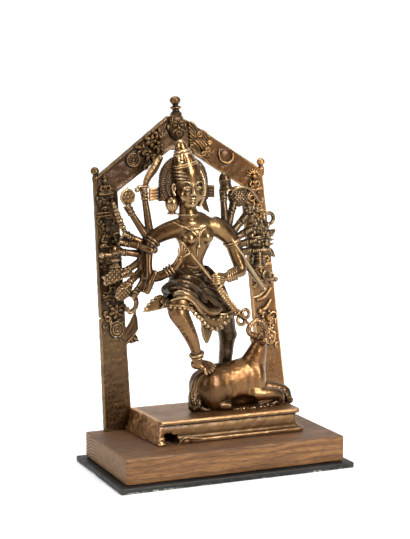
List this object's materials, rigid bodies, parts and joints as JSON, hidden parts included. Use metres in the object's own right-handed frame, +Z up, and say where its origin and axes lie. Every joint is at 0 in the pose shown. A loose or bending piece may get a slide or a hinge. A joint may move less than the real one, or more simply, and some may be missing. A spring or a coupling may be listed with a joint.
{
  "type": "durga figure",
  "caption": "Many-armed goddess standing with a foot on a buffalo before a house-shaped frame, cast metal on an oak block and a dark base plate.",
  "frame": {"origin": "middle of the base plate's underside", "axes": "+Z up, the goddess faces -Y, +X to the right as seen from the front"},
  "size_m": [0.2348, 0.1278, 0.35],
  "materials": {
    "black_plate": "matt, chipped",
    "oak": "stained and waxed",
    "golden_bronze": "worn, soft gloss",
    "brown_bronze": "rough, dark patina"
  },
  "bodies": {
    "root": {"base_plate": "black_plate", "oak_block": "oak", "goddess_group": "golden_bronze", "back_frame": "brown_bronze"}
  },
  "joints": []
}
